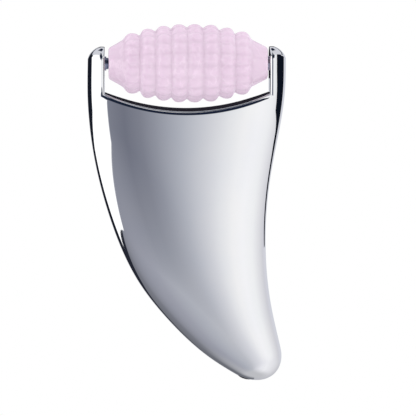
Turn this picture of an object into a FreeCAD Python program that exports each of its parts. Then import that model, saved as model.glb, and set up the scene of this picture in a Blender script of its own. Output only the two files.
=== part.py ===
"""Stone face roller: a ribbed stone on an axle, held by the two arms of a horn-shaped mirror-plated handle.

Frame: X to the right across the arms, Y to the back, Z up from the horn's tip to the arms; millimetres.
The origin is under the middle of the bounding box, at the height of the tip.
"""
import FreeCAD, Part
import os
import re
import Sketcher
from FreeCAD import Placement, Rotation, Vector

SIZES = {
    # overall
    "half_width": (29.8, "half the handle's width across the arms"),
    "axle_height": (96.0, "axle above the tip"),
    "depth": (9.0, "front of the handle to the seam"),
    "back_flat": (6.6, "seam to the flat back"),
    # the horn
    "tip_reach": (5.45, "nose section to the end of the tip"),
    # arms, saddle and yoke
    "arm_width": (5.2, "arm across, and the height of its domed top"),
    "saddle_drop": (8.8, "axle down to the saddle's two ends"),
    "saddle_sag": (5.0, "saddle's ends down to its middle"),
    "liner": (1.5, "yoke wall"),
    "arm_round": (5.3, "half the thickness of the arm's domed top"),
    "lug_side": (14.0, "yoke lug to the middle"),
    "lug_width": (6.0, "yoke lug across"),
    "lug_drop": (26.0, "axle down to the lug's end"),
    "lug_screw_drop": (22.5, "axle down to the lug's screw"),
    # shells
    "wall": (1.8, "shell wall"),
    "cavity_drop": (18.5, "axle down to the top of the hollow"),
    "boss_radius": (3.3, "screw boss"),
    "upper_screw_side": (7.5, "upper cover screws to the middle"),
    "upper_screw_up": (0.667, "upper cover screws above the tip, share of the axle height"),
    "lower_screw_side": (0.423, "lower cover screw, share of the half width"),
    "lower_screw_up": (0.1875, "lower cover screw, share of the axle height"),
    "pin_radius": (1.0, "locating pin"),
    "pin_reach": (3.0, "locating pin into each shell"),
    "pin_side": (19.0, "locating pin to the middle"),
    "pin_drop": (14.9, "axle down to the locating pins"),
    "gasket_margin": (0.5, "outside of the shell to the gasket"),
    "gasket_width": (0.6, "gasket across"),
    "gasket_deep": (0.6, "gasket groove depth"),
    "gasket_drop": (17.2, "axle down to the gasket's upper run"),
    # screws, inserts and plugs
    "screw_radius": (1.0, "screw shank"),
    "head_radius": (1.9, "screw head"),
    "head_thick": (1.3, "screw head"),
    "socket_radius": (0.75, "hexagon socket across its corners, halved"),
    "socket_deep": (0.8, "hexagon socket"),
    "insert_radius": (1.7, "threaded insert"),
    "insert_length": (3.0, "threaded insert"),
    "plug_radius": (2.4, "screw plug"),
    "plug_thick": (0.8, "screw plug"),
    "fit": (0.03, "clearance around a screw, pin or plug"),
    # axle, bushes, washers and clips
    "axle_radius": (1.25, "axle"),
    "groove_radius": (0.95, "bottom of the axle's clip grooves"),
    "axle_end": (0.4, "axle past its clips"),
    "run": (0.05, "running clearance around the axle"),
    "bush_radius": (1.8, "arm bush"),
    "flange_radius": (2.1, "arm bush flange"),
    "flange_thick": (0.5, "arm bush flange"),
    "clip_thick": (0.45, "axle clip"),
    "clip_gap": (1.5, "opening of the axle clip"),
    "pocket_gap": (0.2, "clearance around the clips and the axle's ends"),
    "washer_radius": (2.1, "thrust washers"),
    "washer_left": (0.5, "left thrust washer's thickness"),
    "washer_right": (0.4, "right thrust washer's thickness"),
    "wave_radius": (1.7, "wave washer"),
    "wave_thick": (0.6, "wave washer's working height"),
    "end_play": (0.1, "gap between the stone and the washers"),
    # stone
    "cone_length": (4.95, "plain cone at each end"),
    "cone_foot": (6.5, "cone radius at the rings"),
    "cone_end": (4.75, "cone radius at its end"),
    "end_round": (0.6, "rounded edge of the stone's ends"),
    "ring_one": (11.66, "crest radius of the two middle rings"),
    "ring_two": (11.3, "crest radius of the next two rings"),
    "ring_three": (10.45, "crest radius of the next two rings"),
    "ring_four": (9.15, "crest radius of the two end rings"),
    "ring_round": (3.3, "radius of each ring's rounded crest"),
    "stone_bore": (1.7, "stone's bore around the axle"),
    "stone_bush_radius": (2.3, "stone's bush"),
    "stone_bush_length": (6.0, "stone's bush"),
    # ballast
    "ballast_gap": (1.2, "ballast to the shell's inner wall"),
    "ballast_front": (4.5, "seam to the ballast's front"),
    "ballast_back": (0.5, "seam to the ballast's back"),
    "ballast_low": (0.26, "ballast's lower end, share of the axle height"),
    "ballast_high": (0.5625, "ballast's upper end, share of the axle height"),
    "ballast_screw_side": (0.252, "lower ballast screw, share of the half width"),
    "ballast_screw_up": (0.302, "lower ballast screw, share of the axle height"),
    "ballast_top_side": (0.017, "upper ballast screw, share of the half width"),
    "ballast_top_up": (0.5156, "upper ballast screw, share of the axle height"),
    "pad_width": (16.0, "foam pad across"),
    "pad_side": (0.117, "foam pad's middle, share of the half width"),
    "pad_gap": (0.6, "foam pad to the ballast screws' heads"),
}

# sections across the horn: middle to the right and half length as shares of the half width, height as a
# share of the axle height, tilt in degrees, and thickness as a share of the depth
SECTIONS = {
    "top": (0.0, 1.086, 0.990, 0.0, 1.0),
    "arm": (0.0, 1.0, 0.995, 0.0, 1.0),
    "shoulder": (-0.006, 0.906, 0.996, 0.0, 1.0),
    "chest": (-0.019, 0.8125, 0.964, 0.0, 1.0),
    "rib": (-0.028, 0.719, 0.913, 1.0, 1.0),
    "waist": (-0.018, 0.625, 0.853, 2.5, 1.0),
    "middle": (0.015, 0.531, 0.791, 5.0, 1.0),
    "belly": (0.073, 0.438, 0.727, 9.0, 0.99),
    "hip": (0.159, 0.348, 0.651, 13.0, 0.965),
    "bend": (0.281, 0.266, 0.555, 17.5, 0.92),
    "hook": (0.419, 0.187, 0.459, 21.5, 0.855),
    "beak": (0.564, 0.120, 0.367, 25.0, 0.765),
    "nose": (0.713, 0.0635, 0.266, 27.7, 0.65),
}
SECTION_SIZES = ("side", "up", "span", "tilt", "thick")

# places worked out from the sizes
ARM_INNER = "(half_width - arm_width)"
ARM_FACE = "(half_width - arm_width + liner)"
CLIP_FACE = f"({ARM_FACE} + flange_thick)"
AXLE_TIP = f"({CLIP_FACE} + clip_thick + axle_end)"
SADDLE_RADIUS = f"(({ARM_INNER} ^ 2 + saddle_sag ^ 2) / (2 * saddle_sag))"
SADDLE_LOW = "(axle_height - saddle_drop - saddle_sag)"
STONE_LEFT = f"(-{ARM_INNER} + washer_left + wave_thick + end_play)"
STONE_RIGHT = f"({ARM_INNER} - washer_right - end_play)"
STONE_MIDDLE = f"(({STONE_LEFT} + {STONE_RIGHT}) / 2)"
STONE_HALF = f"(({STONE_RIGHT} - {STONE_LEFT}) / 2)"
RING_PITCH = f"(({STONE_HALF} - cone_length) / 4)"
HEAD_SEAT = "(back_flat - plug_thick - head_thick)"
OVER = "(depth + 4)"

COVER_SCREWS = (("-upper_screw_side", "axle_height * upper_screw_up"),
                ("upper_screw_side", "axle_height * upper_screw_up"),
                ("half_width * lower_screw_side", "axle_height * lower_screw_up"))
YOKE_SCREWS = (("-lug_side", "axle_height - lug_screw_drop"), ("lug_side", "axle_height - lug_screw_drop"))
BALLAST_SCREWS = (("half_width * ballast_screw_side", "axle_height * ballast_screw_up"),
                  ("half_width * ballast_top_side", "axle_height * ballast_top_up"))
PINS = (("-pin_side", "axle_height - pin_drop"), ("pin_side", "axle_height - pin_drop"))

ALONG_X = Rotation(Vector(0, 1, 0), 90)
ALONG_Y = Rotation(Vector(1, 0, 0), -90)

doc = FreeCAD.newDocument("face_roller")
sheet = doc.addObject("Spreadsheet::Sheet", "sizes")


def fill_sheet():
    for station, values in SECTIONS.items():
        for label, value in zip(SECTION_SIZES, values):
            SIZES[f"{station}_{label}"] = (value, "horn section")
    for row, (name, (value, note)) in enumerate(SIZES.items(), start=1):
        sheet.set(f"A{row}", name)
        sheet.set(f"B{row}", str(value))
        sheet.set(f"C{row}", note)
        sheet.setAlias(f"B{row}", name)
    doc.recompute()


def linked(text):
    """An expression in which each size's name stands for its cell in the sheet."""
    return re.sub(r"[a-z]+(?:_[a-z]+)*", lambda word: f"sizes.{word[0]}" if word[0] in SIZES else word[0],
                  str(text))


def bind(item, **values):
    for prop, text in values.items():
        item.setExpression(prop, linked(text))
    return item


def place(item, x=0, y=0, z=0, turn=None):
    if turn:
        item.Placement = Placement(Vector(), turn)
    for axis, text in zip("xyz", (x, y, z)):
        item.setExpression(f".Placement.Base.{axis}", linked(text))
    return item


def box(name, x, y, z):
    """A block between two values along each axis."""
    block = doc.addObject("Part::Box", name)
    bind(block, Length=f"({x[1]}) - ({x[0]})", Width=f"({y[1]}) - ({y[0]})", Height=f"({z[1]}) - ({z[0]})")
    return place(block, x[0], y[0], z[0])


def rod_x(name, radius, start, end, y=0, z="axle_height"):
    """A cylinder along X."""
    rod = bind(doc.addObject("Part::Cylinder", name), Radius=radius, Height=f"({end}) - ({start})")
    return place(rod, start, y, z, ALONG_X)


def rod_y(name, radius, start, end, x, z):
    """A cylinder along Y."""
    rod = bind(doc.addObject("Part::Cylinder", name), Radius=radius, Height=f"({end}) - ({start})")
    return place(rod, x, start, z, ALONG_Y)


def fuse(name, pieces):
    joined = doc.addObject("Part::MultiFuse", name)
    joined.Shapes = pieces
    return joined


def common(name, pieces):
    shared = doc.addObject("Part::MultiCommon", name)
    shared.Shapes = pieces
    return shared


def cut(name, base, tools):
    """Base less the tools."""
    result = doc.addObject("Part::Cut", name)
    result.Base = base
    result.Tool = tools[0] if len(tools) == 1 else fuse(f"{name}_tools", tools)
    return result


def group(name, pieces):
    """Identical loose pieces kept as separate solids of one node."""
    bunch = doc.addObject("Part::Compound", name)
    bunch.Links = pieces
    return bunch


def ring(name, outer, inner, start, end):
    """A tube about the axle."""
    return cut(name, rod_x(f"{name}_outer", outer, start, end),
               [rod_x(f"{name}_bore", inner, f"{start} - 1", f"{end} + 1")])


# --- horn -------------------------------------------------------------------------------------------

def across_horn(item, body, station):
    """Sets a sketch or primitive square to the horn at a station, from the body's own XY plane."""
    plane = next(feature for feature in body.Origin.OriginFeatures if feature.Role == "XY_Plane")
    item.AttachmentSupport = (plane, [""])
    item.MapMode = "FlatFace"
    item.AttachmentOffset = Placement(Vector(), Rotation(Vector(0, -1, 0), 1))
    item.setExpression(".AttachmentOffset.Base.x", linked(f"half_width * {station}_side"))
    item.setExpression(".AttachmentOffset.Base.z", linked(f"axle_height * {station}_up"))
    item.setExpression(".AttachmentOffset.Rotation.Angle", linked(f"{station}_tilt"))


def horn_section(body, name, station, inset):
    """An ellipse across the horn, with its long axis from side to side."""
    sketch = body.newObject("Sketcher::SketchObject", name)
    across_horn(sketch, body, station)
    sketch.addGeometry(Part.Ellipse(Vector(0, 0, 0), 12, 8))
    sketch.exposeInternalGeometry(0)
    sketch.addConstraint(Sketcher.Constraint("Coincident", 0, 3, -1, 1))
    sketch.addConstraint(Sketcher.Constraint("Horizontal", 1))
    halves = {1: ("long", f"half_width * {station}_span - {inset}"),
              2: ("thick", f"depth * {station}_thick - {inset}")}
    for line, (label, value) in halves.items():
        index = sketch.addConstraint(Sketcher.Constraint("Distance", line, 20.0))
        sketch.renameConstraint(index, label)
        sketch.setExpression(f"Constraints.{label}", linked(f"2 * ({value})"))
    return sketch


def horn_form(name, inset):
    """The horn, drawn in by an inset: ellipses lofted down to the nose, and a half ellipsoid for the tip."""
    body = doc.addObject("PartDesign::Body", name)
    sections = [horn_section(body, f"{name}_{station}", station, inset) for station in SECTIONS]
    loft = body.newObject("PartDesign::AdditiveLoft", f"{name}_loft")
    loft.Profile = sections[0]
    loft.Sections = sections[1:]
    loft.Ruled = False
    tip = body.newObject("PartDesign::AdditiveEllipsoid", f"{name}_tip")
    across_horn(tip, body, "nose")
    tip.Angle1 = -90
    tip.Angle2 = 0
    bind(tip, Radius1=f"tip_reach - {inset}", Radius2=f"half_width * nose_span - {inset}",
         Radius3=f"depth * nose_thick - {inset}")
    body.Tip = tip
    return body


def mouth(name, grow):
    """The space between the arms down to the curved saddle, made larger all round by grow."""
    side = f"({ARM_INNER} + {grow})"
    block = box(f"{name}_block", (f"-{side}", side), (f"-{OVER}", OVER),
                (f"{SADDLE_LOW} - 5", "axle_height + 2 * arm_width"))
    drum = rod_y(f"{name}_drum", f"{SADDLE_RADIUS} + {grow}", f"-{OVER}", OVER,
                 0, f"{SADDLE_LOW} + {SADDLE_RADIUS}")
    return common(name, [block, drum])


def arm_dome(name, side):
    """Rounded end of an arm, centred on the axle."""
    dome = doc.addObject("Part::Ellipsoid", name)
    dome.Angle1 = -90
    bind(dome, Radius1="arm_width", Radius2="arm_width", Radius3="arm_round")
    return place(dome, side, 0, "axle_height")


def trimmed_horn():
    """The solid horn with a flat back and with a dome at the top of each arm."""
    wide = "(half_width + 5)"
    keep = fuse("trim_form", [
        box("trim_block", (f"-{wide}", wide), (f"-{OVER}", "back_flat"), ("-2", "axle_height")),
        arm_dome("trim_left", f"-{ARM_INNER}"), arm_dome("trim_right", ARM_INNER)])
    return common("solid_horn", [horn_form("horn", "0"), keep])


# --- shells -----------------------------------------------------------------------------------------

def hollow():
    """What the shells leave free inside: the cavity, less the bosses that stand in it."""
    room = box("cavity_block", ("-half_width", "half_width"), ("-depth", "back_flat - wall"),
               ("-2", "axle_height - cavity_drop"))
    cavity = common("cavity", [horn_form("cavity_form", "wall"), room])
    bosses = [rod_y(f"cover_boss{n}", "boss_radius", f"-{OVER}", OVER, x, z)
              for n, (x, z) in enumerate(COVER_SCREWS)]
    bosses += [rod_y(f"yoke_boss{n}", "boss_radius", f"-{OVER}", "0", x, z)
               for n, (x, z) in enumerate(YOKE_SCREWS)]
    bosses += [rod_y(f"ballast_boss{n}", "boss_radius", f"-{OVER}", "-ballast_front", x, z)
               for n, (x, z) in enumerate(BALLAST_SCREWS)]
    return cut("hollow", cavity, bosses)


def clip_pockets(name):
    """Room in both arms for the clips and the ends of the axle."""
    end = f"{AXLE_TIP} + pocket_gap"
    return [rod_x(f"{name}_left", "flange_radius + pocket_gap", f"-({end})", f"-{ARM_FACE}"),
            rod_x(f"{name}_right", "flange_radius + pocket_gap", ARM_FACE, end)]


def pin_holes(name):
    return [rod_y(f"{name}{n}", "pin_radius + fit", "-(pin_reach + fit)", "pin_reach + fit", x, z)
            for n, (x, z) in enumerate(PINS)]


def front_shell(plated, gasket):
    """Front half, with a bore for an insert in each boss and the groove for the gasket."""
    half = box("front_half", (f"-{OVER} - half_width", f"{OVER} + half_width"), (f"-{OVER}", "0"),
               ("-2", "axle_height + 2 * arm_width"))
    bores = [rod_y(f"insert_bore{n}", "insert_radius", "-(insert_length + socket_deep)", "0", x, z)
             for n, (x, z) in enumerate(COVER_SCREWS + YOKE_SCREWS)]
    bores += [rod_y(f"ballast_bore{n}", "insert_radius", "-(ballast_front + insert_length)",
                    "-ballast_front", x, z) for n, (x, z) in enumerate(BALLAST_SCREWS)]
    tools = bores + clip_pockets("front_pocket") + pin_holes("front_pin_hole") + [gasket]
    return cut("front_shell", common("front_blank", [plated, half]), tools)


def rear_cover(plated):
    """Back half, with a stepped hole for each cover screw and its plug, and slots for the yoke's lugs."""
    half = box("rear_half", (f"-{OVER} - half_width", f"{OVER} + half_width"), ("0", OVER),
               ("-2", "axle_height + 2 * arm_width"))
    tools = clip_pockets("rear_pocket") + pin_holes("rear_pin_hole")
    for n, (x, z) in enumerate(COVER_SCREWS):
        tools += [rod_y(f"cover_hole{n}", "screw_radius + fit", "-1", OVER, x, z),
                  rod_y(f"cover_sink{n}", "plug_radius + fit", HEAD_SEAT, OVER, x, z)]
    for n, (x, z) in enumerate(YOKE_SCREWS):
        tools.append(box(f"lug_slot{n}", (f"{x} - lug_width / 2 - fit", f"{x} + lug_width / 2 + fit"),
                         ("-1", "liner + fit"), ("axle_height - lug_drop", "axle_height - saddle_drop")))
    return cut("rear_cover", common("rear_blank", [plated, half]), tools)


def seam_gasket():
    """Closed cord around the hollow, let into the front shell at the seam."""
    def slab(name, margin):
        room = box(f"{name}_block", ("-half_width", "half_width"), ("-gasket_deep", "0"),
                   ("-2", f"axle_height - gasket_drop - {margin}"))
        return common(name, [horn_form(f"{name}_form", f"(gasket_margin + {margin})"), room])
    return cut("seam_gasket", slab("gasket_outside", "0"), [slab("gasket_inside", "gasket_width")])


def yoke_frame(solid, inner_mouth, outer_mouth):
    """U-shaped liner of the saddle and arms, with a bored end in each arm and two screwed lugs."""
    band = cut("yoke_band", common("yoke_blank", [solid, outer_mouth]), [inner_mouth])
    lugs = []
    for n, (x, z) in enumerate(YOKE_SCREWS):
        block = box(f"lug_block{n}", (f"{x} - lug_width / 2", f"{x} + lug_width / 2"), ("0", "liner"),
                    ("axle_height - lug_drop", "axle_height - saddle_drop"))
        lugs.append(block)
    holes = [rod_y(f"lug_hole{n}", "screw_radius + fit", "-1", "liner + 1", x, z)
             for n, (x, z) in enumerate(YOKE_SCREWS)]
    holes.append(rod_x("yoke_bore", "bush_radius", "-half_width", "half_width"))
    lug_pair = cut("lug_pair", fuse("lug_blocks", lugs), [inner_mouth])
    return cut("yoke_frame", fuse("yoke_raw", [band, lug_pair]), holes)


def locating_pins():
    return group("locating_pins", [rod_y(f"pin{n}", "pin_radius", "-pin_reach", "pin_reach", x, z)
                                   for n, (x, z) in enumerate(PINS)])


# --- screws and plugs -------------------------------------------------------------------------------

def screw(name, seat, end, x, z):
    """A socket cap screw along Y: its head lies behind the seat, its shank runs forward to end."""
    head = rod_y(f"{name}_head", "head_radius", seat, f"{seat} + head_thick", x, z)
    shank = rod_y(f"{name}_shank", "screw_radius", end, seat, x, z)
    socket = doc.addObject("Part::Prism", f"{name}_socket")
    socket.Polygon = 6
    bind(socket, Circumradius="socket_radius", Height="socket_deep")
    place(socket, x, f"{seat} + head_thick - socket_deep", z, ALONG_Y)
    return cut(name, fuse(f"{name}_blank", [head, shank]), [socket])


def screws(name, places, seat, end):
    return group(name, [screw(f"{name}_{n}", seat, end, x, z) for n, (x, z) in enumerate(places)])


def threaded_inserts():
    """A brass insert in every boss of the front shell."""
    def insert(name, back, x, z):
        sleeve = rod_y(f"{name}_sleeve", "insert_radius", f"{back} - insert_length", back, x, z)
        bore = rod_y(f"{name}_bore", "screw_radius + fit", f"{back} - insert_length - 1", f"{back} + 1",
                     x, z)
        return cut(name, sleeve, [bore])
    pieces = [insert(f"insert{n}", "0", x, z) for n, (x, z) in enumerate(COVER_SCREWS + YOKE_SCREWS)]
    pieces += [insert(f"ballast_insert{n}", "-ballast_front", x, z)
               for n, (x, z) in enumerate(BALLAST_SCREWS)]
    return group("threaded_inserts", pieces)


def screw_plugs():
    return group("screw_plugs", [rod_y(f"plug{n}", "plug_radius", "back_flat - plug_thick", "back_flat",
                                       x, z) for n, (x, z) in enumerate(COVER_SCREWS)])


# --- ballast ----------------------------------------------------------------------------------------

def ballast_weight():
    """Bar that follows the front shell's inside, screwed to two short bosses."""
    room = box("ballast_block", ("-half_width", "half_width"), ("-ballast_front", "-ballast_back"),
               ("axle_height * ballast_low", "axle_height * ballast_high"))
    bar = common("ballast_bar", [horn_form("ballast_form", "(wall + ballast_gap)"), room])
    holes = [rod_y(f"ballast_hole{n}", "screw_radius + fit", "-depth", "depth", x, z)
             for n, (x, z) in enumerate(BALLAST_SCREWS)]
    return cut("ballast_weight", bar, holes)


def ballast_pad():
    """Foam block between the bar and the rear cover."""
    middle = "half_width * pad_side"
    return box("ballast_pad", (f"{middle} - pad_width / 2", f"{middle} + pad_width / 2"),
               ("-ballast_back", "back_flat - wall"),
               ("axle_height * ballast_screw_up + head_radius + pad_gap",
                "axle_height * ballast_top_up - head_radius - pad_gap"))


# --- axle -------------------------------------------------------------------------------------------

def axle():
    """Plain pin with a clip groove outside each arm."""
    pin = rod_x("axle_rod", "axle_radius", f"-{AXLE_TIP}", AXLE_TIP)
    grooves = [ring("axle_groove_left", "axle_radius + 1", "groove_radius",
                    f"-({CLIP_FACE} + clip_thick)", f"-{CLIP_FACE}"),
               ring("axle_groove_right", "axle_radius + 1", "groove_radius",
                    CLIP_FACE, f"({CLIP_FACE} + clip_thick)")]
    return cut("axle", pin, grooves)


def axle_clip(name, start, end):
    """Spring clip, open downwards."""
    disc = ring(f"{name}_disc", "flange_radius", "groove_radius", start, end)
    mouth_block = box(f"{name}_mouth", (f"{start} - 1", f"{end} + 1"), ("-clip_gap / 2", "clip_gap / 2"),
                      ("axle_height - flange_radius - 1", "axle_height"))
    return cut(name, disc, [mouth_block])


def arm_bush(name, side):
    """Sleeve through a yoke arm, with its flange on the arm's outer face."""
    def span(near, far):
        return (near, far) if side == "right" else (f"-({far})", f"-({near})")
    sleeve = rod_x(f"{name}_sleeve", "bush_radius", *span(ARM_INNER, ARM_FACE))
    flange = rod_x(f"{name}_flange", "flange_radius", *span(ARM_FACE, CLIP_FACE))
    bore = rod_x(f"{name}_bore", "axle_radius", *span(f"{ARM_INNER} - 1", f"{CLIP_FACE} + 1"))
    return cut(name, fuse(f"{name}_blank", [sleeve, flange]), [bore])


# --- stone ------------------------------------------------------------------------------------------

def stone_roller():
    """Eight rounded rings between two plain cones, bored for the axle and for a bush at each end."""
    middle = STONE_MIDDLE
    rings = []
    for side, sign in (("left", "-"), ("right", "")):
        for n, crest in enumerate(("ring_one", "ring_two", "ring_three", "ring_four")):
            bead = bind(doc.addObject("Part::Torus", f"{crest}_{side}"),
                        Radius1=f"{crest} - ring_round", Radius2="ring_round")
            place(bead, f"{middle} + {sign}({RING_PITCH} * {n + 0.5})", 0, "axle_height", ALONG_X)
            rings.append(bead)
    core = rod_x("stone_core", "cone_foot", f"{middle} - 4 * {RING_PITCH}", f"{middle} + 4 * {RING_PITCH}")
    blank = fuse("stone_blank", rings + [core, stone_end("left", -90), stone_end("right", 90)])
    bores = [rod_x("stone_axle_bore", "stone_bore", f"{STONE_LEFT} - 1", f"{STONE_RIGHT} + 1"),
             rod_x("stone_seat_left", "stone_bush_radius", f"{STONE_LEFT} - 1",
                   f"{STONE_LEFT} + stone_bush_length"),
             rod_x("stone_seat_right", "stone_bush_radius", f"{STONE_RIGHT} - stone_bush_length",
                   f"{STONE_RIGHT} + 1")]
    return cut("stone_roller", blank, bores)


def stone_end(side, angle):
    """Cone with its outer edge rounded, starting a little inside the rings."""
    cone = bind(doc.addObject("Part::Cone", f"stone_cone_{side}"),
                Radius1="cone_foot", Radius2="cone_end", Height="cone_length")
    sign = "-" if side == "left" else ""
    place(cone, f"{STONE_MIDDLE} + {sign}(4 * {RING_PITCH})", 0, "axle_height",
          Rotation(Vector(0, 1, 0), angle))
    doc.recompute()
    rounded = doc.addObject("Part::Fillet", f"stone_end_{side}")
    rounded.Base = cone
    edge = next(number for number, item in enumerate(cone.Shape.Edges, start=1)
                if item.Closed and item.BoundBox.ZLength < 1.9 * cone.Radius1.Value)
    radius = sheet.get("end_round")
    rounded.Edges = [(edge, radius, radius)]
    return rounded


def check_and_export(pieces):
    """Stops if any object failed or any piece is not one valid shape, then writes each piece."""
    doc.recompute()
    failed = [item.Name for item in doc.Objects if {"Invalid", "Error"} & set(item.State)]
    assert not failed, failed
    os.makedirs("parts", exist_ok=True)
    for item in pieces:
        assert not item.Shape.isNull() and item.Shape.isValid(), item.Label
        assert item.Shape.Solids, item.Label
        item.Shape.exportStep(f"parts/{item.Label}.step")
        print(f"{item.Label:22s} {len(item.Shape.Solids)} solid(s) {item.Shape.Volume:9.1f} mm3")


fill_sheet()
solid = trimmed_horn()
outer_mouth = mouth("outer_mouth", "liner")
inner_mouth = mouth("inner_mouth", "0")
plated = cut("plated", solid, [outer_mouth, hollow()])
gasket = seam_gasket()
pieces = [
    front_shell(plated, gasket),
    rear_cover(plated),
    gasket,
    yoke_frame(solid, inner_mouth, outer_mouth),
    locating_pins(),
    screws("cover_screws", COVER_SCREWS, HEAD_SEAT, "-(insert_length - fit)"),
    screws("yoke_screws", YOKE_SCREWS, "liner", "-(insert_length - fit)"),
    screws("ballast_screws", BALLAST_SCREWS, "-ballast_back", "-(ballast_front + insert_length - fit)"),
    threaded_inserts(),
    screw_plugs(),
    ballast_weight(),
    ballast_pad(),
    axle(),
    axle_clip("axle_clip_left", f"-({CLIP_FACE} + clip_thick)", f"-{CLIP_FACE}"),
    axle_clip("axle_clip_right", CLIP_FACE, f"({CLIP_FACE} + clip_thick)"),
    arm_bush("arm_bush_left", "left"),
    arm_bush("arm_bush_right", "right"),
    ring("thrust_washer_left", "washer_radius", "axle_radius", f"-{ARM_INNER}",
         f"(-{ARM_INNER} + washer_left)"),
    ring("wave_washer", "wave_radius", "axle_radius", f"(-{ARM_INNER} + washer_left)",
         f"(-{ARM_INNER} + washer_left + wave_thick)"),
    ring("thrust_washer_right", "washer_radius", "axle_radius", f"({ARM_INNER} - washer_right)", ARM_INNER),
    stone_roller(),
    ring("roller_bush_left", "stone_bush_radius", "axle_radius + run", STONE_LEFT,
         f"({STONE_LEFT} + stone_bush_length)"),
    ring("roller_bush_right", "stone_bush_radius", "axle_radius + run",
         f"({STONE_RIGHT} - stone_bush_length)", STONE_RIGHT),
]
check_and_export(pieces)
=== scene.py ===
"""Stone face roller: a beaded pink stone between the arms of a horn-shaped, mirror-plated handle."""
import math

import bmesh
import bpy
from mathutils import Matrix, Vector


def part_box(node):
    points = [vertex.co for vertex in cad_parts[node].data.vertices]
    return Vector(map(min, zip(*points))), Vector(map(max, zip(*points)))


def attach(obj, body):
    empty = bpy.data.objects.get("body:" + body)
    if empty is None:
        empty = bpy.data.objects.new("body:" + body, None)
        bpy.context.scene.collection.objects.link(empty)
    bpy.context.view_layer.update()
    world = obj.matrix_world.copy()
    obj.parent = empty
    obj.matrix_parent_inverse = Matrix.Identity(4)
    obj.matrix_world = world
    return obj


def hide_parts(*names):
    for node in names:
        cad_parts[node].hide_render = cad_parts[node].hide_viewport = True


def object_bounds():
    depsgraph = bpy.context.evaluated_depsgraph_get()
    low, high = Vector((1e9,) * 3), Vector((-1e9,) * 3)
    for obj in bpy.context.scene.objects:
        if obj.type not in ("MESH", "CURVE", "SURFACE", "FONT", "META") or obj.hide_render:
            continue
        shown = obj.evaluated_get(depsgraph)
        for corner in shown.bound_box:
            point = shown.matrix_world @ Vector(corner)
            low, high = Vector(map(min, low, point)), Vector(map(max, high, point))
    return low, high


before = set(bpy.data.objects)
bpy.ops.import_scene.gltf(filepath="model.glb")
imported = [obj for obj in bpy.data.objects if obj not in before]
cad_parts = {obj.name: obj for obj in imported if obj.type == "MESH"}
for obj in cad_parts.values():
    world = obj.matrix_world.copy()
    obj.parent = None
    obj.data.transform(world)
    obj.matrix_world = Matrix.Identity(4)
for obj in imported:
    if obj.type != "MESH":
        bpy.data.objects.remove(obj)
cad_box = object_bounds()
mm = 0.001
scene = bpy.context.scene

# --- camera -----------------------------------------------------------------------------------------
# A long lens a little above the handle and almost square to its front. The view is view_width across
# at the middle of the handle.
camera_turn, camera_rise, camera_away = math.radians(-2), math.radians(6), 1.2
view_width = 124.8 * mm
view_middle = Vector((6.3 * mm, 0, 52.5 * mm))

camera_data = bpy.data.cameras.new("camera")
camera_data.sensor_width = 36
camera_data.lens = camera_data.sensor_width * camera_away / view_width
camera_data.clip_end = 20
camera = bpy.data.objects.new("camera", camera_data)
scene.collection.objects.link(camera)
towards_camera = Vector((math.sin(camera_turn) * math.cos(camera_rise),
                         -math.cos(camera_turn) * math.cos(camera_rise), math.sin(camera_rise)))
camera.location = view_middle + camera_away * towards_camera
camera.rotation_euler = towards_camera.to_track_quat("Z", "Y").to_euler()
scene.camera = camera
scene.view_settings.view_transform = "Standard"

# --- studio -----------------------------------------------------------------------------------------
# A mirror finish shows what stands around it, so its reflections see a studio: grey walls that brighten
# to the right, a table, a white softbox on the left, and black flags. The camera and diffuse light see
# plain white instead.
world = bpy.data.worlds.new("studio")
scene.world = world
world.use_nodes = True
tree = world.node_tree
tree.nodes.clear()


def node(kind, **settings):
    made = tree.nodes.new(kind)
    for name, value in settings.items():
        setattr(made, name, value)
    return made


def feed(socket, value):
    if isinstance(value, bpy.types.NodeSocket):
        tree.links.new(value, socket)
    else:
        socket.default_value = value


def sum_of(operation, *values):
    """The result of a maths node for numbers or sockets."""
    made = node("ShaderNodeMath", operation=operation)
    for socket, value in zip(made.inputs, values):
        feed(socket, value)
    return made.outputs[0]


def rise(value, start, end):
    """0 before start and 1 after end, with a smooth step between them."""
    made = node("ShaderNodeMapRange", interpolation_type="SMOOTHSTEP", clamp=True)
    feed(made.inputs["Value"], value)
    feed(made.inputs["From Min"], start)
    feed(made.inputs["From Max"], end)
    return made.outputs["Result"]


def between(value, low, high, soft):
    """1 from low to high, with edges soft degrees wide."""
    return sum_of("MULTIPLY", rise(value, sum_of("SUBTRACT", low, soft / 2), sum_of("ADD", low, soft / 2)),
                  rise(value, sum_of("ADD", high, soft / 2), sum_of("SUBTRACT", high, soft / 2)))


def colour(text):
    """Linear RGBA of a colour written as six hexadecimal digits."""
    levels = [int(text[n:n + 2], 16) / 255 for n in (0, 2, 4)]
    return tuple(v / 12.92 if v < 0.04045 else ((v + 0.055) / 1.055) ** 2.4 for v in levels) + (1,)


def over(mask, top, below):
    """The top colour where the mask is 1, and the one below where it is 0."""
    made = node("ShaderNodeMix", data_type="RGBA", clamp_factor=True)
    feed(made.inputs[0], mask)
    feed(made.inputs[6], below)
    feed(made.inputs[7], top)
    return made.outputs[2]


# A direction's place in the room, in degrees: across is 0 in front of the handle and grows to the right,
# and height is above the level.
direction = node("ShaderNodeSeparateXYZ")
tree.links.new(node("ShaderNodeTexCoord").outputs["Generated"], direction.inputs[0])
across = sum_of("MULTIPLY", sum_of("ARCTAN2", direction.outputs["X"],
                                   sum_of("MULTIPLY", direction.outputs["Y"], -1)), math.degrees(1))
level_rise = 1.5
height = sum_of("MULTIPLY_ADD", sum_of("ARCSINE", direction.outputs["Z"]), math.degrees(1), level_rise)
aside = sum_of("ABSOLUTE", across)


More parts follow.
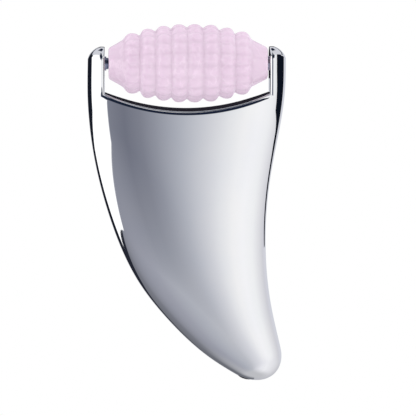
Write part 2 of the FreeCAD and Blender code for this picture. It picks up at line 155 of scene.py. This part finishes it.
def sweep(tones):
    """A colour ramp round the whole room, from -180 to 180 degrees, as bright as the plating shows it."""
    ramp = node("ShaderNodeValToRGB")
    while len(ramp.color_ramp.elements) < len(tones):
        ramp.color_ramp.elements.new(0.5)
    for element, (degrees, tone) in zip(ramp.color_ramp.elements, tones):
        element.position = 0.5 + degrees / 360
        element.color = [v / plating for v in colour(tone)[:3]] + [1]
    feed(ramp.inputs[0], sum_of("MULTIPLY_ADD", across, 1 / 360, 0.5))
    return ramp.outputs[0]


plating = 0.86
walls = sweep(((-180, "c9cbd2"), (-152, "a4a7b1"), (-60, "80838f"), (-43, "7a7d89"), (-28, "6f727f"),
               (-18, "7c7f8b"), (-11, "8e919c"), (-5, "a0a3ad"), (0, "aeb1ba"), (6, "c0c2c9"),
               (13, "d1d2d7"), (20, "e0e1e4"), (30, "eeeeef"), (42, "f2f2f4"), (60, "edeeef"),
               (76, "e0e0e3"), (92, "d5d5d9"), (105, "cdcdd3"), (125, "cfd0d8"), (180, "c9cbd2")))
table = sweep(((-180, "6e7078"), (-150, "686a71"), (-120, "70727a"), (-95, "777982"), (-80, "868892"),
               (-60, "92949f"), (-41, "9b9da8"), (-20, "abaeb7"), (-3, "b9bbc2"), (10, "cecfd5"),
               (30, "e3e3e8"), (50, "ececef"), (90, "dcdce0"), (110, "d3d3d7"), (130, "c8c8cd"),
               (180, "b4b5bb")))
table_back, table_front = -6, -24
lower = node("ShaderNodeMapRange", clamp=True)
for name, amount in (("Value", height), ("From Min", table_back), ("From Max", table_front)):
    feed(lower.inputs[name], amount)
room = over(lower.outputs["Result"], table, walls)
room = over(rise(height, -50, -78), colour("c9cace"), room)

# The softbox and the flag beyond it. Their edges lean, and the softbox ends below in a slanted corner
# with a dark wedge beside it.
flag_start, box_top = -158, 21
flag_edge = sum_of("MAXIMUM", sum_of("MINIMUM", sum_of("MULTIPLY_ADD", height, 4.5, -61), -91), -113)
left_flag = sum_of("MULTIPLY", between(across, flag_start, flag_edge, 3), between(height, -25, box_top, 3))
room = over(left_flag, colour("191c27"), room)
box_edge = sum_of("MINIMUM", sum_of("MULTIPLY_ADD", height, 1.8, -30.6), -45)
wedge_edge = sum_of("MINIMUM", sum_of("MULTIPLY_ADD", height, 4, 15.8), -77)
wedge = sum_of("MULTIPLY", between(across, flag_start, wedge_edge, 3), between(height, -34, -22, 2))
room = over(wedge, colour("262935"), room)
box_side = sum_of("MINIMUM", box_edge, sum_of("MULTIPLY_ADD", height, 14.4, 257))
softbox = sum_of("MULTIPLY", between(across, flag_edge, box_side, 2), between(height, -26.5, box_top, 1.5))
room = over(softbox, (1.3, 1.3, 1.3, 1), room)

# Above the level: a dark band at both sides, a dark flag overhead in front, a pale ceiling at the sides,
# and dark again high up behind.
side_band = sum_of("MULTIPLY", between(height, box_top, 28, 3), rise(aside, 40, 55))
room = over(side_band, colour("11131c"), room)
top_flag_edge = sum_of("MULTIPLY_ADD", sum_of("MULTIPLY", aside, aside), -0.034, 84)
top_flag = between(height, 5, top_flag_edge, 4)
room = over(sum_of("MULTIPLY", top_flag, rise(aside, 60, 44)), colour("1b2438"), room)
ceiling = sum_of("MULTIPLY", rise(height, 28, 36), rise(aside, 40, 56))
room = over(ceiling, colour("dcdde4"), room)
rear_top = sum_of("MULTIPLY", rise(height, 52, 56), rise(aside, 128, 140))
room = over(rear_top, colour("1b2438"), room)

rays = node("ShaderNodeLightPath")
seen = sum_of("MAXIMUM", rays.outputs["Is Camera Ray"], rays.outputs["Is Diffuse Ray"])
background = node("ShaderNodeBackground")
feed(background.inputs["Color"], over(seen, (1, 1, 1, 1), room))
tree.links.new(background.outputs[0], node("ShaderNodeOutputWorld").inputs["Surface"])

# A plain white floor, just under the tip.
floor_size, floor_gap = 8, 0.02 * mm
bpy.ops.object.select_all(action="DESELECT")
bpy.ops.mesh.primitive_plane_add(size=floor_size, location=(0, 0, cad_box[0][2] - floor_gap))
floor = bpy.context.object
floor.name = "floor"
floor_paint = bpy.data.materials.new("floor_white")
floor_paint.use_nodes = True
tree = floor_paint.node_tree
tree.nodes.clear()
glow = node("ShaderNodeEmission")
tree.links.new(glow.outputs[0], node("ShaderNodeOutputMaterial").inputs["Surface"])
floor.data.materials.append(floor_paint)
floor.visible_glossy = False

# Two black flags stand near the handle, and only their reflections are seen: a curved one to the right,
# as rows of height in mm and the angles at which it starts and ends, and a flat one behind the saddle, as
# places across and behind, and heights, in mm.
flag_away, flag_middle = 100 * mm, 27 * mm
flag_rows = ((112, 66, 109), (85.4, 66, 109), (61.4, 73, 112), (54.4, 86, 114), (49.4, 95, 118),
             (44.4, 99, 126), (42, 104, 131), (39.4, 109, 134), (36.4, 114, 136), (30.4, 122, 137))
flag_columns = 12
rear_flag_place = ((-34, 75), (34, 75))
rear_flag_rows = (135, 86)


def felt_card(name, rows, tone):
    """A sheet between rows of points, black and only seen in reflections."""
    global tree
    card = bmesh.new()
    rows = [[card.verts.new(point) for point in row] for row in rows]
    for row, after in zip(rows, rows[1:]):
        for n in range(len(row) - 1):
            card.faces.new((row[n], row[n + 1], after[n + 1], after[n]))
    made = bpy.data.objects.new(name, bpy.data.meshes.new(name))
    card.to_mesh(made.data)
    card.free()
    scene.collection.objects.link(made)
    felt = bpy.data.materials.new(name)
    felt.use_nodes = True
    tree = felt.node_tree
    tree.nodes.clear()
    glow = node("ShaderNodeEmission")
    glow.inputs["Color"].default_value = colour(tone)
    tree.links.new(glow.outputs[0], node("ShaderNodeOutputMaterial").inputs["Surface"])
    made.data.materials.append(felt)
    made.visible_camera = False
    made.visible_diffuse = False
    made.visible_shadow = False
    made.visible_transmission = False


side_rows = []
for level, start, end in flag_rows:
    turns = [math.radians(start + (end - start) * n / flag_columns) for n in range(flag_columns + 1)]
    side_rows.append([(flag_middle + flag_away * math.sin(a), -flag_away * math.cos(a), level * mm)
                      for a in turns])
felt_card("side_flag", side_rows, "0f1420")
felt_card("rear_flag", [[(x * mm, y * mm, z * mm) for x, y in rear_flag_place] for z in rear_flag_rows],
          "232129")

# --- handle shells ----------------------------------------------------------------------------------
# Two moulded shells, plated to a mirror, close on each other around the horn's outline. Screws from
# the back hold them, and the arms end in domes over the axle.
half_width = 29.8 * mm
axle_height = 96 * mm
arm_width = 5.2 * mm
arm_inner = half_width - arm_width
back_flat = 6.6 * mm
liner = 1.5 * mm
saddle_ends = axle_height - 8.8 * mm
saddle_drop = 5 * mm
saddle_low = saddle_ends - saddle_drop
saddle_radius = (arm_inner ** 2 + saddle_drop ** 2) / (2 * saddle_drop)
seam_gap = 0.03 * mm
crease = math.radians(32)

# The pockets for the axle's clips in the arms, and the sinks for the plugs in the back: each sink's place
# is a share of the half width and a share of the axle's height.
pocket_radius, pocket_start, pocket_end = 2.3 * mm, 0.5 * mm, 3.05 * mm
plug_places = ((-7.5 / 29.8, 0.667), (7.5 / 29.8, 0.667), (0.423, 0.1875))
sink_radius, sink_depth, sink_cutter = 2.45 * mm, 0.9 * mm, 4 * mm

# Sections across the horn, in mm and degrees: middle to the right, height, half length, half thickness,
# and tilt. The tip is the end of an ellipsoid, as steps in degrees round it.
horn_sections = ((0, 114, 29.3, 9, 0), (0, 109, 29.4, 9, 0), (0, 104.3, 29.5, 9, 0), (0, 96, 29.65, 9, 0),
                 (-0.18, 87, 29.68, 9, 0), (-0.57, 78, 28.73, 9, 0), (-0.83, 69, 27.21, 9, 1),
                 (-0.54, 60, 25.42, 9, 2.5), (0.45, 51, 23.57, 9, 5), (2.18, 42.05, 21.66, 8.91, 9),
                 (4.74, 33.4, 19.4, 8.69, 13), (8.37, 25.5, 16.54, 8.28, 17.5),
                 (12.49, 17.95, 13.68, 7.7, 21.5), (16.81, 11.52, 10.94, 6.89, 25),
                 (21.25, 6.1, 7.93, 5.85, 27.7))
tip_length, tip_lean = 11.8 * mm, 36
tip_steps = (29, 38, 48, 58, 68, 77, 84)
ring_points = 32
ring_shrink = (2 + math.cos(math.tau / ring_points)) / 3


def start_mesh(name):
    """An empty mesh object in edit mode, for primitives to be added to."""
    bpy.ops.object.select_all(action="DESELECT")
    made = bpy.data.objects.new(name, bpy.data.meshes.new(name))
    scene.collection.objects.link(made)
    bpy.context.view_layer.objects.active = made
    made.select_set(True)
    bpy.ops.object.mode_set(mode="EDIT")
    return made


def add_ring(x, z, long, thick, tilt):
    """One ring across the horn. It is made larger, because the smoothing draws it in."""
    middle = (x, 0, z)
    bpy.ops.mesh.primitive_circle_add(vertices=ring_points, radius=1 / ring_shrink, location=middle)
    bpy.ops.transform.resize(value=(long, thick, 1), center_override=middle)
    bpy.ops.transform.rotate(value=math.radians(tilt), orient_axis="Y", center_override=middle)


def horn_form(name, levels):
    """The whole horn: its sections, then the smaller and smaller rings of its tip, bridged and smoothed."""
    made = start_mesh(name)
    for x, z, long, thick, tilt in horn_sections:
        add_ring(x * mm, z * mm, long * mm, thick * mm, tilt)
    lean = math.radians(tip_lean)
    first = math.radians(tip_steps[0])
    for step in tip_steps[1:]:
        down = tip_length * (math.sin(math.radians(step)) - math.sin(first))
        share = math.cos(math.radians(step)) / math.cos(first) * mm
        add_ring(x * mm + down * math.sin(lean), z * mm - down * math.cos(lean),
                 long * share, thick * share, tilt)
    bpy.ops.mesh.select_all(action="SELECT")
    bpy.ops.mesh.bridge_edge_loops(type="SINGLE")
    bpy.ops.mesh.select_all(action="DESELECT")
    bpy.ops.mesh.select_mode(type="EDGE")
    bpy.ops.mesh.select_non_manifold(extend=False)
    bpy.ops.mesh.edge_face_add()
    bpy.ops.mesh.select_all(action="SELECT")
    bpy.ops.mesh.normals_make_consistent(inside=False)
    bpy.ops.object.mode_set(mode="OBJECT")
    smooth = made.modifiers.new("smooth", "SUBSURF")
    smooth.levels = smooth.render_levels = levels
    bpy.ops.object.modifier_apply(modifier="smooth")
    return made


def copy_of(original, name):
    made = original.copy()
    made.data = original.data.copy()
    made.name = made.data.name = name
    scene.collection.objects.link(made)
    return made


def carve(piece, tool, operation="DIFFERENCE"):
    """Applies a boolean of the tool to the piece, and removes the tool."""
    bpy.ops.object.select_all(action="DESELECT")
    bpy.context.view_layer.objects.active = piece
    piece.select_set(True)
    cutter = piece.modifiers.new("carve", "BOOLEAN")
    cutter.operation, cutter.object, cutter.solver = operation, tool, "EXACT"
    bpy.ops.object.modifier_apply(modifier="carve")
    bpy.data.objects.remove(tool, do_unlink=True)


def block(name, low, high):
    low, high = Vector(low), Vector(high)
    bpy.ops.object.select_all(action="DESELECT")
    bpy.ops.mesh.primitive_cube_add(size=1, location=(low + high) / 2)
    made = bpy.context.object
    made.name = name
    made.scale = high - low
    bpy.ops.object.transform_apply()
    return made


def rod(name, radius, start, end):
    """A cylinder along X about the axle."""
    bpy.ops.object.select_all(action="DESELECT")
    bpy.ops.mesh.primitive_cylinder_add(vertices=96, radius=radius, depth=end - start,
                                        location=((start + end) / 2, 0, axle_height),
                                        rotation=(0, math.pi / 2, 0))
    made = bpy.context.object
    made.name = name
    bpy.ops.object.transform_apply()
    return made


def mouth(name, grow):
    """The space between the arms down to the saddle, made larger all round by grow."""
    side = arm_inner + grow
    made = block(name, (-side, -20 * mm, saddle_low - 5 * mm), (side, 20 * mm, axle_height + 24 * mm))
    bpy.ops.object.select_all(action="DESELECT")
    bpy.ops.mesh.primitive_cylinder_add(vertices=480, radius=saddle_radius + grow, depth=60 * mm,
                                        location=(0, 0, saddle_low + saddle_radius),
                                        rotation=(math.pi / 2, 0, 0))
    drum = bpy.context.object
    bpy.ops.object.transform_apply()
    carve(made, drum, "INTERSECT")
    return made


def arm_dome(name, side):
    """The rounded end of one arm, about the axle's height."""
    bpy.ops.object.select_all(action="DESELECT")
    bpy.ops.mesh.primitive_uv_sphere_add(segments=96, ring_count=64, radius=1,
                                         location=(side * arm_inner, 0, axle_height))
    made = bpy.context.object
    made.name = name
    made.scale = (arm_width, arm_width + 0.1 * mm, arm_width)
    bpy.ops.object.transform_apply()
    return made


def keep_between(piece, y_low, y_high):
    """Keeps the part of a closed piece between two planes across Y."""
    carve(piece, block("keep", (-50 * mm, y_low, -10 * mm), (50 * mm, y_high, 130 * mm)), "INTERSECT")


horn = horn_form("horn", 3)
above = block("above", (-40 * mm, -20 * mm, axle_height), (40 * mm, 20 * mm, 130 * mm))
carve(above, arm_dome("dome_left", -1))
carve(above, arm_dome("dome_right", 1))
carve(horn, above)
carve(horn, mouth("wide_mouth", liner))
for side in (-1, 1):
    ends = sorted((side * (arm_inner + pocket_start), side * (arm_inner + pocket_end)))
    carve(horn, rod("clip_pocket", pocket_radius, *ends))


def finish_of(name):
    """A new material with its shader, ready for nodes."""
    global tree
    made = bpy.data.materials.new(name)
    made.use_nodes = True
    tree = made.node_tree
    return made, tree.nodes["Principled BSDF"]


def noise(scale, detail=3, stretch=(1, 1, 1)):
    """Noise on the piece's own coordinates; scale is in features per metre."""
    placed = node("ShaderNodeMapping")
    placed.inputs["Scale"].default_value = stretch
    tree.links.new(node("ShaderNodeTexCoord").outputs["Object"], placed.inputs["Vector"])
    made = node("ShaderNodeTexNoise")
    made.inputs["Scale"].default_value = scale
    made.inputs["Detail"].default_value = detail
    tree.links.new(placed.outputs[0], made.inputs["Vector"])
    return made.outputs["Fac"]


def spread(value, low, high):
    """Spreads the middle of a noise over low to high."""
    made = node("ShaderNodeMapRange", clamp=True)
    feed(made.inputs["Value"], value)
    for name, amount in zip(("From Min", "From Max", "To Min", "To Max"), (0.35, 0.65, low, high)):
        made.inputs[name].default_value = amount
    return made.outputs["Result"]


def bump(value, distance):
    """Dents and rises that are distance deep, from a noise."""
    made = node("ShaderNodeBump")
    made.inputs["Strength"].default_value = 1
    made.inputs["Distance"].default_value = distance
    feed(made.inputs["Height"], value)
    return made.outputs["Normal"]


chrome, shader = finish_of("plated_mirror")
shader.inputs["Metallic"].default_value = 1
plating_cool, plating_warm = (0.85, 0.855, 0.87, 1), (0.87, 0.87, 0.875, 1)
feed(shader.inputs["Base Color"], over(spread(noise(90), 0, 1), plating_cool, plating_warm))
feed(shader.inputs["Roughness"], spread(noise(260), 0.02, 0.045))

front = copy_of(horn, "handle_front")
keep_between(front, -20 * mm, -seam_gap)
back = horn
back.name = back.data.name = "handle_back"
keep_between(back, seam_gap, back_flat)
for side, up in plug_places:
    bpy.ops.object.select_all(action="DESELECT")
    place = (side * half_width, back_flat - sink_depth + sink_cutter / 2, up * axle_height)
    bpy.ops.mesh.primitive_cylinder_add(vertices=64, radius=sink_radius, depth=sink_cutter,
                                        location=place, rotation=(math.pi / 2, 0, 0))
    sink = bpy.context.object
    bpy.ops.object.transform_apply()
    carve(back, sink)
for shell, cad_node in ((front, "front_shell"), (back, "rear_cover")):
    bpy.ops.object.select_all(action="DESELECT")
    bpy.context.view_layer.objects.active = shell
    shell.select_set(True)
    bpy.ops.object.shade_smooth_by_angle(angle=crease)
    shell.data.materials.clear()
    shell.data.materials.append(chrome)
    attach(shell, "handle")
    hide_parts(cad_node)

# --- yoke -------------------------------------------------------------------------------------------
# A bent steel strap, polished and plated, that lines the saddle and both arms. It carries the axle's
# bushes, and its edges are rolled over where they meet the front and the back of the handle.
rolled_edge = 1.05 * mm
edge_steps, saddle_steps = 6, 48
bush_hole = 1.8 * mm
arm_turns = (90, 72, 58, 46, 34, 22, 10)
inside_dome = 0.955


def horn_depth(x, z):
    """Half thickness of the horn, or of an arm's dome above the axle, at a place across the front."""
    rows = [row for row in horn_sections if row[1] * mm >= z]
    upper = rows[-1]
    lower = horn_sections[len(rows)]
    share = (z - lower[1] * mm) / ((upper[1] - lower[1]) * mm)
    middle, long, thick = ((lower[n] + (upper[n] - lower[n]) * share) * mm for n in (0, 2, 3))
    body = thick * math.sqrt(max(0, 1 - ((x - middle) / long) ** 2))
    if z <= axle_height:
        return body
    left = 1 - ((abs(x) - arm_inner) / arm_width) ** 2 - ((z - axle_height) / arm_width) ** 2
    return min(body, (arm_width + 0.1 * mm) * math.sqrt(max(0, left)))


def strap_line():
    """Pairs of inner and outer points of the strap in the XZ plane, from the left arm's top round."""
    saddle_middle = saddle_low + saddle_radius
    arm = [axle_height + inside_dome * arm_width * math.sin(math.radians(a)) for a in arm_turns]
    arm += [axle_height - n * mm for n in (0, 2, 4, 6)]
    turn = math.asin(arm_inner / saddle_radius)
    outer_corner = saddle_middle - math.sqrt((saddle_radius + liner) ** 2 - (arm_inner + liner) ** 2)
    line = [((-arm_inner, z), (-arm_inner - liner, z)) for z in arm]
    line.append(((-arm_inner, saddle_ends), (-arm_inner - liner, outer_corner)))
    for n in range(1, saddle_steps):
        angle = -turn + 2 * turn * n / saddle_steps
        line.append(tuple((radius * math.sin(angle), saddle_middle - radius * math.cos(angle))
                          for radius in (saddle_radius, saddle_radius + liner)))
    left = line[:len(arm) + 1]
    return line + [tuple((-x, z) for x, z in pair) for pair in reversed(left)]


def strap_section(inner, outer):
    """Closed outline across the strap at one place, with both inner edges rolled over."""
    inner, outer = Vector(inner), Vector(outer)
    away = (outer - inner) / liner
    points = []
    for sign, limit in ((-1, 1), (1, back_flat)):
        def depth(place):
            found = horn_depth(*place)
            return min(found, back_flat) if sign == 1 else found
        radius = min(rolled_edge, 0.85 * depth(inner))
        flush = depth(inner + away * radius)
        side = [(outer, depth(outer))]
        for n in range(edge_steps + 1):
            a = math.pi / 2 * n / edge_steps
            side.append((inner + away * radius * (1 - math.sin(a)), flush - radius * (1 - math.cos(a))))
        side.append((inner, 0.97 * (flush - radius)))
        side = [(place.x, sign * y, place.y) for place, y in side]
        points += side if sign == -1 else side[::-1]
    return points


mesh = bmesh.new()
rings = [[mesh.verts.new(point) for point in strap_section(*pair)] for pair in strap_line()]
for ring, after in zip(rings, rings[1:]):
    for n in range(len(ring)):
        other = (n + 1) % len(ring)
        mesh.faces.new((ring[n], ring[other], after[other], after[n]))
mesh.faces.new(rings[0][::-1])
mesh.faces.new(rings[-1])
bmesh.ops.recalc_face_normals(mesh, faces=mesh.faces)
yoke = bpy.data.objects.new("yoke_strap", bpy.data.meshes.new("yoke_strap"))
mesh.to_mesh(yoke.data)
mesh.free()
scene.collection.objects.link(yoke)
for side in (-1, 1):
    ends = sorted((side * (arm_inner - 1 * mm), side * (arm_inner + liner + 1 * mm)))
    carve(yoke, rod("bush_hole", bush_hole, *ends))
bpy.ops.object.select_all(action="DESELECT")
bpy.context.view_layer.objects.active = yoke
yoke.select_set(True)
bpy.ops.object.shade_smooth_by_angle(angle=crease)
yoke.data.materials.clear()
yoke.data.materials.append(chrome)
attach(yoke, "handle")
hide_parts("yoke_frame")

# --- stone ------------------------------------------------------------------------------------------
# A turned and polished piece of pale pink quartz, bored for its axle: eight rounded rings, each cut
# across into eighteen beads, between two plain cones.
stone_low, stone_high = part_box("stone_roller")
# in mm: the rings' places and crest radii, the radii of the valleys before, between and after them, and
# each ring's outline as shares of its width and of its height
rings_start, rings_end = -19, 19.2
ring_places = (-16.4, -11.8, -7.05, -2.4, 2.35, 7.2, 12.0, 16.6)
ring_crests = (9.0, 10.34, 11.16, 11.64, 11.68, 11.46, 10.6, 9.42)
ring_valleys = (7.2, 8.1, 9.45, 10.1, 10.55, 10.35, 9.7, 8.6, 7.3)
ring_rounding = ((-0.38, 0.55), (-0.22, 0.93), (0, 1.04), (0.22, 0.93), (0.38, 0.55))
beads = 18
bead_points = 4
bead_cut = 0.945
cone_foot, cone_end, end_round = 6.9 * mm, 4.7 * mm, 0.6 * mm
seat_radius, seat_depth, bore_radius = 2.32 * mm, 6 * mm, 1.7 * mm


def stone_outline():
    """Places and radii along the stone from its left rim to its right rim, and then back in the bore."""
    left, right = stone_low.x, stone_high.x
    points = [(left, cone_end - 1.3 * end_round), (left, cone_end - 0.75 * end_round),
              (left + 0.25 * end_round, cone_end - 0.1 * end_round),
              (left + 0.8 * end_round, cone_end + 0.18 * mm), (left + 2.4 * mm, cone_end + 1.2 * mm)]
    edges = [(a + b) / 2 for a, b in zip(ring_places, ring_places[1:])]
    edges = [rings_start] + edges + [rings_end]
    points.append((edges[0] * mm - 0.4 * mm, cone_foot))
    for n, (place, crest) in enumerate(zip(ring_places, ring_crests)):
        points.append((edges[n] * mm, ring_valleys[n] * mm))
        for share, lift in ring_rounding:
            width = edges[n + 1] - edges[n]
            valley = ring_valleys[n] + (ring_valleys[n + 1] - ring_valleys[n]) * (share + 0.5)
            points.append(((place + share * width) * mm, (valley + (crest - valley) * lift) * mm))
    points.append((edges[-1] * mm, ring_valleys[-1] * mm))
    points += [(edges[-1] * mm + 0.4 * mm, cone_foot), (right - 2.4 * mm, cone_end + 1.2 * mm),
               (right - 0.8 * end_round, cone_end + 0.18 * mm),
               (right - 0.25 * end_round, cone_end - 0.1 * end_round),
               (right, cone_end - 0.75 * end_round), (right, cone_end - 1.3 * end_round)]
    inside = [(right, seat_radius + 0.25 * mm), (right, seat_radius + 0.05 * mm),
              (right - 0.15 * mm, seat_radius), (right - seat_depth, seat_radius),
              (right - seat_depth - 0.1 * mm, bore_radius), (left + seat_depth + 0.1 * mm, bore_radius),
              (left + seat_depth, seat_radius), (left + 0.15 * mm, seat_radius),
              (left, seat_radius + 0.05 * mm), (left, seat_radius + 0.25 * mm)]
    return points, inside


outside, inside = stone_outline()
stone = start_mesh("stone_beads")
columns = beads * bead_points
turn_shrink = (2 + math.cos(math.tau / columns)) / 3
for x, radius in outside + inside:
    bpy.ops.mesh.primitive_circle_add(vertices=columns, radius=radius / turn_shrink,
                                      location=(x, 0, axle_height), rotation=(0, math.pi / 2, 0))
mesh = bmesh.from_edit_mesh(stone.data)
mesh.verts.ensure_lookup_table()
loops = [mesh.verts[n * columns:(n + 1) * columns] for n in range(len(outside) + len(inside))]
for loop, after in zip(loops, loops[1:] + loops[:1]):
    for n in range(columns):
        mesh.faces.new((loop[n], loop[(n + 1) % columns], after[(n + 1) % columns], after[n]))
cone_rows, rows_per_ring = 6, 1 + len(ring_rounding)
for ring_number in range(len(ring_places)):
    for row in range(1, rows_per_ring):
        for n in range(0, columns, bead_points):
            vertex = loops[cone_rows + ring_number * rows_per_ring + row][n]
            vertex.co.y *= bead_cut
            vertex.co.z = axle_height + (vertex.co.z - axle_height) * bead_cut
bmesh.update_edit_mesh(stone.data)
bpy.ops.mesh.select_all(action="SELECT")
bpy.ops.mesh.normals_make_consistent(inside=False)
bpy.ops.object.mode_set(mode="OBJECT")
smooth = stone.modifiers.new("smooth", "SUBSURF")
smooth.levels = smooth.render_levels = 2
bpy.ops.object.modifier_apply(modifier="smooth")
bpy.ops.object.shade_smooth()

pink_stone, shader = finish_of("pink_quartz")
clouds = noise(55, 5)
veins = noise(120, 6, (1, 1.6, 0.7))
vein = sum_of("POWER", rise(sum_of("ABSOLUTE", sum_of("SUBTRACT", veins, 0.5)), 0.03, 0.0), 2)
body = over(spread(clouds, 0, 1), colour("a99ba7"), colour("a08f9e"))
feed(shader.inputs["Base Color"], over(sum_of("MULTIPLY", vein, 0.35), colour("c0b4be"), body))
feed(shader.inputs["Roughness"], spread(noise(300), 0.07, 0.14))
shader.inputs["IOR"].default_value = 1.54
shader.inputs["Subsurface Weight"].default_value = 0.85
shader.inputs["Subsurface Radius"].default_value = (1, 0.75, 0.95)
shader.inputs["Subsurface Scale"].default_value = 6 * mm
# Painted light: the stone glows pale pink. The glow stands in for light passing through the quartz and lifts
# the shade in the grooves between rings and beads, so the base colours above are kept darker to make up for
# it.
shader.inputs["Emission Color"].default_value = colour("f3d9ee")
shader.inputs["Emission Strength"].default_value = 0.5
feed(shader.inputs["Normal"], bump(noise(500, 4), 0.02 * mm))
stone.data.materials.append(pink_stone)
stone.visible_glossy = False
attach(stone, "roller")
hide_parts("stone_roller")

# --- axle and small parts ---------------------------------------------------------------------------
# Turned steel axle with spring clips, sintered arm bushes, steel washers, and acetal bushes in the
# stone. The screws, pins, inserts, ballast, foam pad and gasket are inside the shells.


def metal(name, light, dark, rough, stretch=(1, 1, 1)):
    """Bare metal whose tone and roughness vary a little, along a stretched grain."""
    made, shader = finish_of(name)
    shader.inputs["Metallic"].default_value = 1
    feed(shader.inputs["Base Color"], over(spread(noise(900, 3, stretch), 0, 1), colour(light), colour(dark)))
    feed(shader.inputs["Roughness"], spread(noise(1500, 2, stretch), rough - 0.06, rough + 0.06))
    feed(shader.inputs["Normal"], bump(noise(2500, 2, stretch), 0.005 * mm))
    return made


def plastic(name, light, dark, rough, grain):
    """Moulded plastic, foam or rubber with a fine grain."""
    made, shader = finish_of(name)
    feed(shader.inputs["Base Color"], over(spread(noise(400), 0, 1), colour(light), colour(dark)))
    feed(shader.inputs["Roughness"], spread(noise(900), rough - 0.08, rough + 0.08))
    feed(shader.inputs["Normal"], bump(noise(grain, 4), 0.03 * mm))
    return made


turned_steel = metal("turned_steel", "b4b7c8", "9a9db2", 0.28, (6, 1, 1))
spring_steel = metal("spring_steel", "8e93ae", "767a94", 0.3)
sintered = metal("sintered_bronze", "c9a878", "ab8a5c", 0.42)
brass = metal("brass", "d9b56c", "bf9850", 0.3)
ballast_steel = metal("sawn_steel", "9a9aa0", "808087", 0.45, (1, 1, 8))
acetal = plastic("acetal", "eeeeea", "e2e2dc", 0.4, 2000)
foam = plastic("foam", "2b2b2e", "1c1c1f", 0.9, 900)
rubber = plastic("seal_rubber", "2e2e30", "232325", 0.7, 1800)
finishes = {
    "screw_plugs": chrome, "axle": turned_steel, "axle_clip_left": spring_steel,
    "axle_clip_right": spring_steel, "arm_bush_left": sintered, "arm_bush_right": sintered,
    "thrust_washer_left": turned_steel, "thrust_washer_right": turned_steel, "wave_washer": spring_steel,
    "roller_bush_left": acetal, "roller_bush_right": acetal, "locating_pins": turned_steel,
    "cover_screws": turned_steel, "yoke_screws": turned_steel, "ballast_screws": turned_steel,
    "threaded_inserts": brass, "ballast_weight": ballast_steel, "ballast_pad": foam,
    "seam_gasket": rubber,
}
for name, material in finishes.items():
    cad_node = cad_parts[name]
    cad_node.data.materials.clear()
    cad_node.data.materials.append(material)
